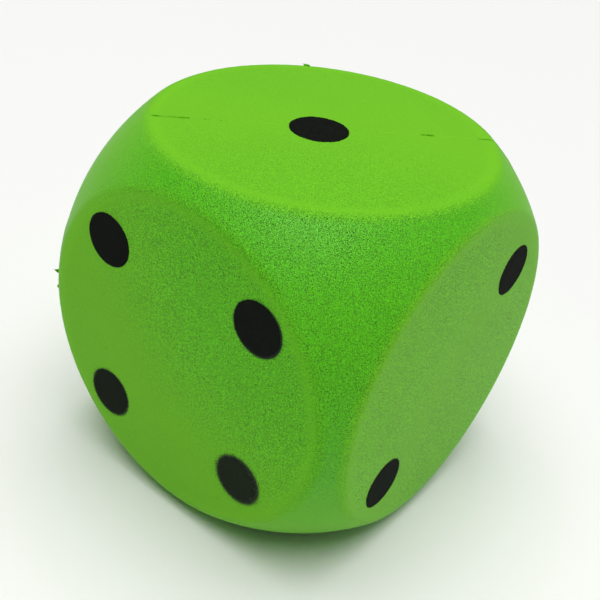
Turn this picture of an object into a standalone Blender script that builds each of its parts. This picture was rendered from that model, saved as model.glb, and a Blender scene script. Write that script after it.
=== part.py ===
"""Soft foam play die: one moulded foam body and twenty-one sprayed pips.

The body is a cube cut by a ball, so each of its six faces is a round flat with a soft rim, and the ball
shows as twelve narrow necks and eight three-sided corners. The pips are thin discs of paint, each let
into a shallow recess of its own. The origin is the middle of the base, with +Z up through the one.
"""

from math import atan, atan2, cos, pi, sin, sqrt

import bmesh
import bpy
from mathutils import Matrix, Vector

# Driving dimensions, in metres
FLAT_TO_FLAT = 0.160
BALL_RADIUS = 0.1075
RIM_FILLET = 0.006
PIP_RADIUS = 0.0115
LONE_PIP_RADIUS = 0.0123
PIP_SPACING = 0.038
PAINT_THICKNESS = 0.0006
FIT_GAP = 0.0003
PAINT_SET_BACK = 0.00005

# How far past the face a recess cutter starts
CUTTER_OVERRUN = 0.001

# Facets: round a face, along a rim fillet, from a rim to the next face's patch, and round a pip
FACE_SIDES = 64
FILLET_STEPS = 4
BALL_STEPS = 4
PIP_SIDES = 28

# Smallest distance between two different points of the body
WELD_DISTANCE = 0.000001

# Faces that meet at more than this are shaded with a sharp edge
SHARP_ANGLE = pi / 6

# Worked out from the driving dimensions
HALF = FLAT_TO_FLAT / 2
FLAT_RADIUS = sqrt((BALL_RADIUS - RIM_FILLET) ** 2 - (HALF - RIM_FILLET) ** 2)
RIM_ANGLE = atan2(FLAT_RADIUS, HALF - RIM_FILLET)

FOAM_GREEN = (0.105, 0.42, 0.022, 1.0)
FOAM_ROUGHNESS = 0.9
PAINT_BLACK = (0.009, 0.0095, 0.0095, 1.0)
PAINT_ROUGHNESS = 0.75

# Each face has its count, its right and up directions as seen from outside, and its pips as (name, steps
# right, steps up). Steps are in pip spacings from the face's middle, and hand stencilling makes them uneven.
FACES = (
    ("one", (1, 0, 0), (0, 1, 0), (("centre", -0.02, -0.085),)),
    ("two", (0, 1, 0), (0, 0, 1), (("upper_right", 0.98, 0.925), ("lower_left", -1.005, -0.985))),
    (
        "three",
        (-1, 0, 0),
        (0, 0, 1),
        (("upper_left", -0.985, 0.99), ("centre", 0.015, -0.01), ("lower_right", 1.01, -1.0)),
    ),
    (
        "four",
        (1, 0, 0),
        (0, 0, 1),
        (
            ("upper_left", -1.035, 1.025),
            ("upper_right", 1.005, 1.025),
            ("lower_left", -1.0, -0.995),
            ("lower_right", 0.975, -0.975),
        ),
    ),
    (
        "five",
        (0, -1, 0),
        (0, 0, 1),
        (
            ("upper_left", -0.99, 1.02),
            ("upper_right", 1.01, 1.02),
            ("centre", 0.01, 0.02),
            ("lower_left", -0.99, -0.98),
            ("lower_right", 1.01, -0.98),
        ),
    ),
    (
        "six",
        (1, 0, 0),
        (0, -1, 0),
        (
            ("upper_left", -1.01, 1.01),
            ("middle_left", -1.015, 0.01),
            ("lower_left", -1.01, -0.99),
            ("upper_right", 0.985, 1.01),
            ("middle_right", 0.985, 0.0),
            ("lower_right", 0.99, -0.99),
        ),
    ),
)


def clear_scene():
    """Remove every object that the scene starts with."""
    for item in list(bpy.data.objects):
        bpy.data.objects.remove(item)


def make_material(name, colour, roughness):
    """A non-metallic Principled material."""
    material = bpy.data.materials.new(name)
    material.use_nodes = True
    shader = material.node_tree.nodes["Principled BSDF"]
    shader.inputs["Base Color"].default_value = colour
    shader.inputs["Roughness"].default_value = roughness
    shader.inputs["Metallic"].default_value = 0.0
    return material


def add_object(name, mesh, material):
    """Link a mesh to the scene under a name, with one material."""
    item = bpy.data.objects.new(name, mesh)
    item.data.materials.append(material)
    bpy.context.scene.collection.objects.link(item)
    return item


def face_turn(right, up):
    """The rotation that takes local X, Y and Z to a face's right, up and outward directions."""
    right = Vector(right)
    up = Vector(up)
    return Matrix((right, up, right.cross(up))).transposed()


def radial_section(around):
    """Points from a flat's edge, over its fillet and along the ball to the edge of the face's patch.

    Each is (distance from the face's axis, height above the middle of the die).
    """
    points = []
    for step in range(FILLET_STEPS + 1):
        slope = RIM_ANGLE * step / FILLET_STEPS
        points.append((FLAT_RADIUS + RIM_FILLET * sin(slope), HALF - RIM_FILLET + RIM_FILLET * cos(slope)))
    # the patches of neighbouring faces meet halfway, on the planes at 45 degrees between them
    patch_edge = atan(1 / max(abs(cos(around)), abs(sin(around))))
    for step in range(1, BALL_STEPS + 1):
        slope = RIM_ANGLE + (patch_edge - RIM_ANGLE) * step / BALL_STEPS
        points.append((BALL_RADIUS * sin(slope), BALL_RADIUS * cos(slope)))
    return points


def add_face_patch(body, turn):
    """Add one face to the body: its flat disc, its rim fillet and its share of the ball."""
    spokes = []
    for side in range(FACE_SIDES):
        around = 2 * pi * side / FACE_SIDES
        spoke = []
        for distance, height in radial_section(around):
            place = turn @ Vector((distance * cos(around), distance * sin(around), height))
            spoke.append(body.verts.new(place))
        spokes.append(spoke)
    body.faces.new([spoke[0] for spoke in spokes])
    for side, spoke in enumerate(spokes):
        following = spokes[(side + 1) % FACE_SIDES]
        for inner in range(len(spoke) - 1):
            outer = inner + 1
            body.faces.new((spoke[inner], spoke[outer], following[outer], following[inner]))


def body_mesh():
    """The foam body before its pips are let in: six face patches welded along their edges."""
    body = bmesh.new()
    for _, right, up, _ in FACES:
        add_face_patch(body, face_turn(right, up))
    bmesh.ops.remove_doubles(body, verts=body.verts, dist=WELD_DISTANCE)
    bmesh.ops.recalc_face_normals(body, faces=body.faces)
    bmesh.ops.translate(body, verts=body.verts, vec=(0, 0, HALF))
    mesh = bpy.data.meshes.new("foam_body")
    body.to_mesh(mesh)
    body.free()
    mesh.shade_smooth()
    mesh.set_sharp_from_angle(angle=SHARP_ANGLE)
    return mesh


def pip_places():
    """Each pip's name, radius, turn and the point on its face that it is centred on."""
    middle = Vector((0, 0, HALF))
    for count, right, up, pips in FACES:
        turn = face_turn(right, up)
        radius = LONE_PIP_RADIUS if len(pips) == 1 else PIP_RADIUS
        for name, steps_right, steps_up in pips:
            point = middle + turn @ Vector((steps_right * PIP_SPACING, steps_up * PIP_SPACING, HALF))
            yield f"pip_{count}_{name}", radius, turn, point


def add_disc(target, radius, bottom, top, placement):
    """Add a closed disc between two heights to a bmesh, at a placement."""
    raised = placement @ Matrix.Translation((0, 0, (bottom + top) / 2))
    bmesh.ops.create_cone(
        target,
        cap_ends=True,
        segments=PIP_SIDES,
        radius1=radius,
        radius2=radius,
        depth=top - bottom,
        matrix=raised,
    )


def pip_mesh(radius):
    """A thin disc of paint whose local origin is on the face it is sprayed on."""
    disc = bmesh.new()
    top = -PAINT_SET_BACK
    add_disc(disc, radius, top - PAINT_THICKNESS, top, Matrix.Identity(4))
    mesh = bpy.data.meshes.new("pip")
    disc.to_mesh(mesh)
    disc.free()
    mesh.shade_smooth()
    mesh.set_sharp_from_angle(angle=SHARP_ANGLE)
    return mesh


def make_pips():
    """One painted disc for each pip, on its face."""
    for name, radius, turn, point in pip_places():
        material = make_material(f"{name}_paint", PAINT_BLACK, PAINT_ROUGHNESS)
        pip = add_object(name, pip_mesh(radius), material)
        pip.location = point
        pip.rotation_euler = turn.to_euler()


def recess_cutter():
    """The hidden cutter that lets every pip into the foam, with a gap all round and beneath."""
    cutter = bmesh.new()
    floor = -(PAINT_SET_BACK + PAINT_THICKNESS + FIT_GAP)
    for _, radius, turn, point in pip_places():
        placement = Matrix.Translation(point) @ turn.to_4x4()
        add_disc(cutter, radius + FIT_GAP, floor, CUTTER_OVERRUN, placement)
    mesh = bpy.data.meshes.new("recess_cutter")
    cutter.to_mesh(mesh)
    cutter.free()
    item = bpy.data.objects.new("recess_cutter", mesh)
    item.hide_render = True
    item.display_type = "WIRE"
    bpy.context.scene.collection.objects.link(item)
    return item


def make_body():
    """The foam body, with its pip recesses cut."""
    material = make_material("foam", FOAM_GREEN, FOAM_ROUGHNESS)
    body = add_object("foam_body", body_mesh(), material)
    recesses = body.modifiers.new("pip recesses", "BOOLEAN")
    recesses.operation = "DIFFERENCE"
    recesses.solver = "EXACT"
    recesses.object = recess_cutter()


clear_scene()
make_body()
make_pips()
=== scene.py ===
"""Soft foam play die: its moulded foam, the parting line and flash of its mould, and its sprayed pips."""

from math import atan2, cos, degrees, pi, radians, sin, sqrt

import bmesh
import bpy
import numpy as np
from bpy.props import FloatProperty, FloatVectorProperty, IntProperty, PointerProperty
from bpy.types import Operator, Panel, PropertyGroup
from mathutils import Matrix, Vector


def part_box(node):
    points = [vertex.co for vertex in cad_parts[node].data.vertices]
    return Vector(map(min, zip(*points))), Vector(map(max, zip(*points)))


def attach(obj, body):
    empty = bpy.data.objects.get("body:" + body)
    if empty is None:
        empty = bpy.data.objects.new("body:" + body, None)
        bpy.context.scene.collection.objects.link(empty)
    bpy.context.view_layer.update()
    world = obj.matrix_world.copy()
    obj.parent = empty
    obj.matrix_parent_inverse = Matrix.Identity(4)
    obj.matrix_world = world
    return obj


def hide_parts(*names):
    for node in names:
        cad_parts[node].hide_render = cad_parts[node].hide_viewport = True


bl_info = {
    "name": "Foam die",
    "version": (1, 0, 0),
    "blender": (4, 5, 0),
    "location": "3D View > Sidebar > Foam die",
    "description": "Builds a soft foam play die around its solid model",
    "category": "Object",
}

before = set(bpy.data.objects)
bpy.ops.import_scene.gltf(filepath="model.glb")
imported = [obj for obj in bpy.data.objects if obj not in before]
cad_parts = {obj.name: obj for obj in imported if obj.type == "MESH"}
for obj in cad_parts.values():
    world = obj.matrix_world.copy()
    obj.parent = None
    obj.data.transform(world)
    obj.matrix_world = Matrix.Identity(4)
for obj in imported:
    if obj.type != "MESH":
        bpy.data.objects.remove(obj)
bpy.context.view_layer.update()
BODY = "root"
PIP_NODES = sorted(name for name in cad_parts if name.startswith("pip_"))


def read_vectors(items, name):
    """One vector of each of a mesh's points or faces, as rows of X, Y and Z."""
    values = np.empty(len(items) * 3)
    items.foreach_get(name, values)
    return values.reshape(-1, 3)


# Places nearer than this count as the same, and points nearer than this to a cut count as on it
SAME_PLACE = 1e-5
CUT_TOLERANCE = SAME_PLACE / 100

# The die's own proportions, measured on its solid
LOW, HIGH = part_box("foam_body")
MIDDLE = (LOW + HIGH) / 2
HALF = (HIGH.z - LOW.z) / 2
FROM_MIDDLE = read_vectors(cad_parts["foam_body"].data.vertices, "co") - np.array(MIDDLE)
BALL_RADIUS = float(np.linalg.norm(FROM_MIDDLE, axis=1).max())
ON_TOP = FROM_MIDDLE[FROM_MIDDLE[:, 2] > HALF - SAME_PLACE]
FLAT_RADIUS = float(np.hypot(ON_TOP[:, 0], ON_TOP[:, 1]).max())
RIM_FILLET = (BALL_RADIUS**2 - HALF**2 - FLAT_RADIUS**2) / (2 * (BALL_RADIUS - HALF))

# The mould opened on the upright plane through two opposite corners of the die
SEAM_ACROSS = Vector((1, -1, 0)).normalized()
SEAM_ALONG = Vector((1, 1, 0)).normalized()
SEAM_LOOPS = (-0.0016, -0.0009, -0.00045, -0.0002, 0.0, 0.0002, 0.00045, 0.0009, 0.0016)
SEAM_REACH = 0.012

# How far across the parting line its ridge, its step, its slits, their lip and its coloured marks reach: the
# ridge's painted highlight and the slits' painted shade
RIDGE_REACH = 0.0003
STEP_REACH = 0.0004
SLIT_REACH = 0.0003
LIP_REACH = 0.0005
PAINTED_HIGHLIGHT_REACH = 0.0005
PAINTED_SHADE_REACH = 0.0006

# How far off the line the step starts to fade, how far off the lip stands, and the lip's height beside
# the slit's depth
STEP_FADE = 0.001
LIP_OFFSET = 0.0009
LIP_SHARE = 0.25

# How uneven the ridge and the slits are round the loop: a mean, and waves of (swing, count, phase)
RIDGE_RIPPLE = (0.62, ((0.22, 23, 1.3), (0.16, 61, 0.4)))
SLIT_RIPPLE = (0.70, ((0.30, 150, 0.9),))

# How much paler the ridge is painted than the skin, as a painted highlight on it, and how much darker the
# slits are painted, as painted shade in them
RIDGE_PAINTED_HIGHLIGHT = 0.10
SLIT_PAINTED_SHADE = 0.50

# The lone pip was sprayed over the line, which is nearly smooth there: by how much, and how far out
CALM_SHARE = 0.85
CALM_RADIUS = 0.016

# The corners whose pores came out the most open, and how open, beside the fullest
OPEN_CORNERS = (
    (Vector((0.50, -0.68, 0.54)).normalized(), 1.0),
    (Vector((-0.55, 0.62, -0.56)).normalized(), 0.9),
    (Vector((-0.60, 0.60, 0.53)).normalized(), 0.55),
    (Vector((0.62, 0.55, -0.56)).normalized(), 0.6),
)

# How open the pores of each flat are beside the ball's, on the minus and plus side of X, Y and Z. This also
# sets how strongly each flat's pits are painted in shade, set per face partly for how the light falls on it.
FLAT_OPENNESS_AND_PORE_SHADE = np.array(((1.20, 2.10), (1.35, 1.20), (0.80, 0.50)))

# How deep the green of each flat is beside the ball's, in the same order. Set per face, this is partly a
# painted tint of light: it stands in for the different light that falls on each face.
FLAT_GREEN_AND_LIGHT_TINT = np.array(((0.5, 0.2), (0.8, 0.6), (0.5, 0.35)))

# How open the pores are far from an open corner, and the cosines of the angles from it at which they
# start to open and are fully open
LEAST_OPEN = 0.12
OPENING = (0.36, 0.97)

# Degrees outside a rim between which the pores and the green change from the flat's to the ball's
PORES_CHANGE = (-1.0, 1.2)
GREEN_CHANGE = (-0.5, 2.4)

# The ball's depth of green where the pores are closed, and how it grows as they open
GREEN_OFF_RIM = 0.1
GREEN_BY_PORES = 1.1

# The band that the mould pressed hardest: degrees inside a rim, its reach in degrees, how much paler it is
# painted, partly its closed skin and partly a painted highlight along the rim, and what it takes off the
# pores and off the depth of green
PRESSED_INSIDE = 1.2
PRESSED_REACH = 1.0
RIM_PAINTED_HIGHLIGHT = 0.055
PRESSED_PORES = 0.55
PRESSED_GREEN = 0.3

# How fast the green deepens with a slit's painted shade
SLIT_SHADE_GREEN = 3

# The widest pinhole, the narrowest and the pit's floor as shares of it, the strip beside a pip that has
# none, and how likely a face on fully closed skin is to take one
PINHOLE_WIDTH = 0.0009
PINHOLE_NARROWEST = 0.4
PINHOLE_FLOOR = 0.5
PINHOLE_MARGIN = 0.0015
PINHOLE_CHANCE = 0.15

# How far each ring of a pinhole is inset before it gets its own width
PINHOLE_INSET = PINHOLE_WIDTH / 10

# Torn stretches of the parting line: where each starts and ends round the loop from the middle of the
# top, in degrees towards the corner between two and three, and its share of the full tear depth. Each
# end eases in over a share of the stretch.
TEAR_EASE = 0.18
TEARS = (
    (-41.6, -39.4, 1.0),
    (-40.0, -37.6, 0.4),
    (-38.2, -34.2, 0.85),
    (-34.6, -26.5, 0.3),
    (26.4, 30.4, 1.0),
    (38.8, 42.0, 0.7),
    (97.0, 103.0, 0.5),
    (148.0, 153.5, 0.8),
    (-166.0, -158.0, 0.6),
    (-104.0, -99.0, 0.4),
)

# The shade of torn flash beside the skin round it
FLASH_SHADE = -0.4

# Torn lumps of flash and one thorn from an air vent: direction from the die's middle, the lump's half
# length, half width and height, how far its tip leans over as a share of its half length, and its shade
FLASH_LUMPS = (
    (Vector((-0.700, -0.700, 0.041)), (0.0019, 0.0010, 0.0020), 1.6, FLASH_SHADE),
    (Vector((-0.700, -0.700, -0.034)), (0.0044, 0.0012, 0.0011), 0.1, -0.15),
    (Vector((-0.520, 0.520, 0.822)), (0.0016, 0.0010, 0.0015), -1.4, -0.12),
    (Vector((0.690, 0.690, -0.120)), (0.0019, 0.0009, 0.0013), 0.5, -0.2),
)

# How each pip was sprayed: how thin its paint is, how much of its edge is only mist, how far the mist
# reaches, and which way it drifted as (right, up) on its face. The rest were sprayed crisply.
CRISP = (0.0, 0.0, 0.0004, (0.0, 0.0))
SPRAY = {
    "pip_four_upper_right": (0.10, 0.0007, 0.0012, (0.0005, -0.0004)),
    "pip_four_lower_left": (0.40, 0.0009, 0.0014, (0.0003, -0.0003)),
    "pip_four_lower_right": (0.75, 0.0019, 0.0026, (0.0003, 0.0001)),
    "pip_two_lower_left": (0.2, 0.0002, 0.0006, (0.0002, 0.0002)),
    "pip_five_centre": (0.3, 0.0004, 0.0012, (-0.0004, -0.0003)),
    "pip_three_lower_right": (0.5, 0.0006, 0.0013, (-0.0003, 0.0004)),
    "pip_six_middle_left": (0.4, 0.0005, 0.0012, (0.0004, 0.0004)),
}


# ---------------------------------------------------------------- settings


# Decimals that the panel shows for a length
DECIMALS = 5


def colour_setting(name, description, default):
    """A colour."""
    return FloatVectorProperty(
        name=name, description=description, subtype="COLOR", size=3, min=0, max=1, default=default
    )


def length_setting(name, description, default, low, high):
    """A length in metres, from low to high."""
    return FloatProperty(
        name=name,
        description=description,
        subtype="DISTANCE",
        unit="LENGTH",
        min=low,
        max=high,
        default=default,
        precision=DECIMALS,
    )


def angle_setting(name, description, default):
    """An angle, given in degrees."""
    return FloatProperty(
        name=name, description=description, subtype="ANGLE", unit="ROTATION", default=radians(default)
    )


def strength_setting(name, description, default):
    """How strong a light is."""
    return FloatProperty(name=name, description=description, min=0, default=default)


def count_setting(name, description, default, low, high):
    """A whole number, from low to high."""
    return IntProperty(name=name, description=description, min=low, max=high, default=default)


class FoamSettings(PropertyGroup):
    """Sizes and colours of the moulded foam."""

    colour: colour_setting(
        "Foam colour", "Colour of the foam's skin between its pores", (0.170, 0.544, 0.009)
    )
    corner_colour: colour_setting(
        "Corner colour",
        "Colour of the foam where its pores are open, on the corners and necks",
        (0.094, 0.494, 0.006),
    )
    pore_spacing: length_setting(
        "Pore spacing", "Distance between neighbouring fine pores", 0.00054, 0.0003, 0.004
    )
    pore_depth: length_setting("Pore depth", "Depth of the fine pores", 0.0002, 0, 0.002)
    pinholes: count_setting("Pinholes", "How many larger pores are open on the skin", 240, 0, 5000)
    pinhole_depth: length_setting("Pinhole depth", "Depth of the larger pores", 0.0008, 0, 0.003)
    wave_height: length_setting(
        "Wave height", "How far the skin rises and sinks, as moulded foam shrinks unevenly", 0.00014, 0, 0.003
    )
    wave_size: length_setting("Wave size", "Distance from one wave to the next", 0.045, 0.01, 0.2)
    seam_height: length_setting(
        "Parting ridge", "Height of the thin ridge left where the mould's halves met", 0.00024, 0, 0.001
    )
    seam_step: length_setting(
        "Parting step", "How far one half of the mould sat proud of the other", 0.00012, 0, 0.001
    )
    tear_depth: length_setting("Tear depth", "Depth of the slits torn along the line", 0.0009, 0, 0.003)
    grid_lines: count_setting("Grid lines", "Lines of the mesh across each of the six faces", 119, 17, 301)
    seed: count_setting("Seed", "Picks the pattern of waves and flash", 7, 0, 9999)


class PipSettings(PropertyGroup):
    """Sizes and colours of the sprayed pips."""

    colour: colour_setting(
        "Paint colour", "Colour of the paint where it covers fully", (0.0035, 0.0040, 0.0038)
    )
    thin_colour: colour_setting(
        "Thin paint colour", "Colour of the paint where the foam shows through it", (0.022, 0.036, 0.018)
    )
    skin: length_setting("Paint skin", "How far the paint stands on the foam", 0.00008, 0.00002, 0.0005)
    soak: length_setting("Soak depth", "How deep the paint soaks into the foam", 0.0004, 0.0001, 0.002)
    ragged: length_setting("Ragged edge", "How far a crisp pip's edge wanders", 0.00036, 0, 0.002)
    sides: count_setting("Sides", "Points round a pip's edge", 216, 24, 400)
    rings: count_setting("Rings", "Rings of faces across a pip", 16, 4, 60)
    speck_size: length_setting("Speck size", "Radius of the largest specks", 0.00014, 0.00002, 0.001)
    speck_density: FloatProperty(
        name="Speck density",
        description="Specks on each square metre where the mist is thickest",
        min=0,
        max=1.0e8,
        default=3.0e7,
    )


class StageSettings(PropertyGroup):
    """Camera, lights and floor."""

    azimuth: angle_setting(
        "Azimuth", "How far the camera stands round to the right of the face with four pips", 34.4
    )
    elevation: angle_setting("Elevation", "How far the camera looks down", 33.3)
    roll: angle_setting("Roll", "Tilt of the hand-held camera", 8.4)
    distance: length_setting("Distance", "From the camera to the middle of the die", 5.167 * HALF, 0, 10)
    aim_drop: length_setting(
        "Aim drop", "How far below the middle of the die the camera is aimed", 0.056 * HALF, 0, 1
    )
    lens: FloatProperty(
        name="Lens", description="Focal length on a 36 mm sensor", unit="CAMERA", default=54.3
    )
    floor_colour: colour_setting("Floor colour", "Colour of the plain floor", (0.91, 0.91, 0.91))
    overhead_strength: strength_setting("Overhead strength", "Strength of the wide soft light above", 2.97)
    left_strength: strength_setting(
        "Left strength", "Strength of the wide low light at the camera's left, on the face with four", 0.08
    )
    right_strength: strength_setting(
        "Right strength", "Strength of the wide low light behind the die, on the face with two", 0.18
    )
    light_spread: angle_setting(
        "Light spread", "How wide each light looks from the die, which softens the shadow", 62
    )
    gloss_strength: strength_setting(
        "Gloss strength", "Strength of the light that only adds the gloss on the front corner", 1.9
    )
    gloss_spread: angle_setting("Gloss spread", "How wide the gloss light looks from the die", 34)
    sky_strength: strength_setting("Sky strength", "Brightness of the even light all round", 0.08)


# ---------------------------------------------------------------- node helpers


# How the nodes are laid out in a tree's editor
NODE_COLUMNS = 12
NODE_WIDTH = 180
NODE_HEIGHT = 220


def add_node(tree, kind, feeds=None, **settings):
    """Add a node with its settings, and feed its inputs from sockets or plain values."""
    made = tree.nodes.new(kind)
    row, column = divmod(len(tree.nodes), NODE_COLUMNS)
    made.location = (NODE_WIDTH * column, -NODE_HEIGHT * row)
    for name, value in settings.items():
        setattr(made, name, value)
    for key, feed in (feeds or {}).items():
        if isinstance(feed, bpy.types.NodeSocket):
            tree.links.new(feed, made.inputs[key])
        else:
            made.inputs[key].default_value = feed
    return made


def sum_of(tree, operation, *terms):
    """One Math node's result."""
    return add_node(tree, "ShaderNodeMath", dict(enumerate(terms)), operation=operation).outputs[0]


def squared(tree, value):
    """A number times itself."""
    return sum_of(tree, "MULTIPLY", value, value)


def other_leg(tree, longest, leg):
    """The third side of a right-angled triangle, from its longest side and one of the others."""
    return sum_of(tree, "SQRT", sum_of(tree, "SUBTRACT", squared(tree, longest), squared(tree, leg)))


def vector_of(tree, operation, *terms):
    """One Vector Math node's vector."""
    feeds = dict(enumerate(terms))
    return add_node(tree, "ShaderNodeVectorMath", feeds, operation=operation).outputs["Vector"]


def scaled(tree, vector, factor):
    """A vector times a number."""
    return add_node(tree, "ShaderNodeVectorMath", {0: vector, "Scale": factor}, operation="SCALE").outputs[0]


def pick(tree, kind, condition, if_false, if_true):
    """One of two values, by a condition."""
    feeds = {"Switch": condition, "False": if_false, "True": if_true}
    return add_node(tree, "GeometryNodeSwitch", feeds, input_type=kind).outputs[0]


def is_more(tree, first, second):
    """Whether one number is greater than another."""
    feeds = {0: first, 1: second}
    settings = {"data_type": "FLOAT", "operation": "GREATER_THAN"}
    return add_node(tree, "FunctionNodeCompare", feeds, **settings).outputs[0]


def either(tree, first, second):
    """Whether at least one of two conditions holds."""
    feeds = {0: first, 1: second}
    return add_node(tree, "FunctionNodeBooleanMath", feeds, operation="OR").outputs[0]


def length_of(tree, vector):
    """How long a vector is."""
    return add_node(tree, "ShaderNodeVectorMath", {0: vector}, operation="LENGTH").outputs["Value"]


def distance_of(tree, first, second):
    """How far apart two points are."""
    feeds = {0: first, 1: second}
    return add_node(tree, "ShaderNodeVectorMath", feeds, operation="DISTANCE").outputs["Value"]


def parts_of(tree, vector):
    """A vector's X, Y and Z."""
    return add_node(tree, "ShaderNodeSeparateXYZ", {0: vector}).outputs


def position_of(tree):
    """Where each point of the geometry is."""
    return add_node(tree, "GeometryNodeInputPosition").outputs[0]


def moved(tree, geometry, position):
    """A geometry whose points are set to new positions."""
    feeds = {"Geometry": geometry, "Position": position}
    return add_node(tree, "GeometryNodeSetPosition", feeds).outputs[0]


def thinned(tree, points, unwanted):
    """Points without the unwanted ones."""
    feeds = {"Geometry": points, "Selection": unwanted}
    return add_node(tree, "GeometryNodeDeleteGeometry", feeds, domain="POINT").outputs[0]


def small_ball(tree, radius, subdivisions):
    """A ball of triangles."""
    feeds = {"Radius": radius, "Subdivisions": subdivisions}
    return add_node(tree, "GeometryNodeMeshIcoSphere", feeds).outputs[0]


def turn_towards(tree, direction):
    """The rotation that takes Z to a direction."""
    feeds = {"Vector": direction}
    return add_node(tree, "FunctionNodeAlignRotationToVector", feeds, axis="Z").outputs[0]


def random_share(tree, seed):
    """A random number from 0 to 1 at each point."""
    return add_node(tree, "FunctionNodeRandomValue", {"Seed": seed}, data_type="FLOAT").outputs[1]


def random_vector(tree, low, high, seed):
    """A random vector at each point, whose parts lie between those of two others."""
    feeds = {0: low, 1: high, "Seed": seed}
    return add_node(tree, "FunctionNodeRandomValue", feeds, data_type="FLOAT_VECTOR").outputs[0]


def seeded_noise(tree, where, seed, scale, detail, roughness=0.5):
    """Smooth noise about 0.5 that is another one for each seed. Its features are 1 / scale across."""
    feeds = {"Vector": where, "W": seed, "Scale": scale, "Detail": detail, "Roughness": roughness}
    return add_node(tree, "ShaderNodeTexNoise", feeds, noise_dimensions="4D").outputs[0]


def new_geometry_tree(name, inputs, outputs=(("Geometry", "NodeSocketGeometry"),)):
    """A geometry tree with named inputs, and its input and output nodes."""
    tree = bpy.data.node_groups.new(name, "GeometryNodeTree")
    for label, kind in inputs:
        tree.interface.new_socket(name=label, in_out="INPUT", socket_type=kind)
    for label, kind in outputs:
        tree.interface.new_socket(name=label, in_out="OUTPUT", socket_type=kind)
    return tree, add_node(tree, "NodeGroupInput").outputs, add_node(tree, "NodeGroupOutput").inputs


def finish_tree(tree, geometry, material, output):
    """End a tree in smooth shading, real geometry and its material."""
    smooth = add_node(tree, "GeometryNodeSetShadeSmooth", {"Geometry": geometry}).outputs[0]
    real = add_node(tree, "GeometryNodeRealizeInstances", {"Geometry": smooth}).outputs[0]
    painted = add_node(tree, "GeometryNodeSetMaterial", {"Geometry": real, "Material": material})
    tree.links.new(painted.outputs[0], output)


def run_tree(tree, name, values):
    """Run a geometry tree with its named inputs, and return an object that holds the plain mesh."""
    item = bpy.data.objects.new(name, bpy.data.meshes.new(name))
    bpy.context.scene.collection.objects.link(item)
    modifier = item.modifiers.new(tree.name, "NODES")
    modifier.node_group = tree
    for socket in tree.interface.items_tree:
        if socket.in_out == "INPUT":
            modifier[socket.identifier] = values[socket.name]
    graph = bpy.context.evaluated_depsgraph_get()
    mesh = bpy.data.meshes.new_from_object(item.evaluated_get(graph), depsgraph=graph)
    item.modifiers.clear()
    item.data = mesh
    mesh.name = name
    return item


def keep(item, slot, *nodes):
    """Fix a finished piece to the die, in place of the solids that it stands for. The slot is not used."""
    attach(item, BODY)
    if nodes:
        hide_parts(*nodes)


# ---------------------------------------------------------------- the die's surface


DIE_SHAPE = (
    ("Flat to flat", "NodeSocketFloat"),
    ("Ball radius", "NodeSocketFloat"),
    ("Rim fillet", "NodeSocketFloat"),
)


def die_shape_values():
    """The three sizes that fix the die's outer shape."""
    return {"Flat to flat": 2 * HALF, "Ball radius": BALL_RADIUS, "Rim fillet": RIM_FILLET}


def surface_rule():
    """A node group that finds the point of the die's surface in any direction from its middle.

    Near a face's own axis it is the flat, then the rim's fillet, and past that the ball.
    """
    name = "Cube cut by a ball"
    if name in bpy.data.node_groups:
        return bpy.data.node_groups[name]
    inputs = (("Direction", "NodeSocketVector"), *DIE_SHAPE)
    tree, given, result = new_geometry_tree(name, inputs, (("Position", "NodeSocketVector"),))
    ball = given["Ball radius"]
    fillet = given["Rim fillet"]
    half = sum_of(tree, "DIVIDE", given["Flat to flat"], 2)
    direction = vector_of(tree, "NORMALIZE", given["Direction"])
    sides = parts_of(tree, vector_of(tree, "ABSOLUTE", direction))
    nearest = sum_of(tree, "MAXIMUM", sum_of(tree, "MAXIMUM", sides[0], sides[1]), sides[2])
    aside = other_leg(tree, 1, nearest)

    # the fillet's own centre, seen in a section through the face's axis
    centre_up = sum_of(tree, "SUBTRACT", half, fillet)
    centre_far = sum_of(tree, "SUBTRACT", ball, fillet)
    centre_out = other_leg(tree, centre_far, centre_up)
    flat_far = sum_of(tree, "SQRT", sum_of(tree, "ADD", squared(tree, half), squared(tree, centre_out)))

    to_flat = sum_of(tree, "DIVIDE", half, nearest)
    out_share = sum_of(tree, "MULTIPLY", centre_out, aside)
    along = sum_of(tree, "MULTIPLY_ADD", centre_up, nearest, out_share)
    off_axis = other_leg(tree, centre_far, along)
    to_fillet = sum_of(tree, "ADD", along, other_leg(tree, fillet, off_axis))

    on_rim = is_more(tree, nearest, sum_of(tree, "DIVIDE", centre_up, centre_far))
    on_flat = is_more(tree, nearest, sum_of(tree, "DIVIDE", half, flat_far))
    far = pick(tree, "FLOAT", on_flat, pick(tree, "FLOAT", on_rim, ball, to_fillet), to_flat)
    lift = add_node(tree, "ShaderNodeCombineXYZ", {2: half}).outputs[0]
    tree.links.new(vector_of(tree, "ADD", scaled(tree, direction, far), lift), result["Position"])
    return tree


def follow_surface(tree, given, direction):
    """Add the surface rule to a tree and return the point that it finds."""
    group = add_node(tree, "GeometryNodeGroup", node_tree=surface_rule())
    tree.links.new(direction, group.inputs["Direction"])
    for label, _ in DIE_SHAPE:
        tree.links.new(given[label], group.inputs[label])
    return group.outputs["Position"]


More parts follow.
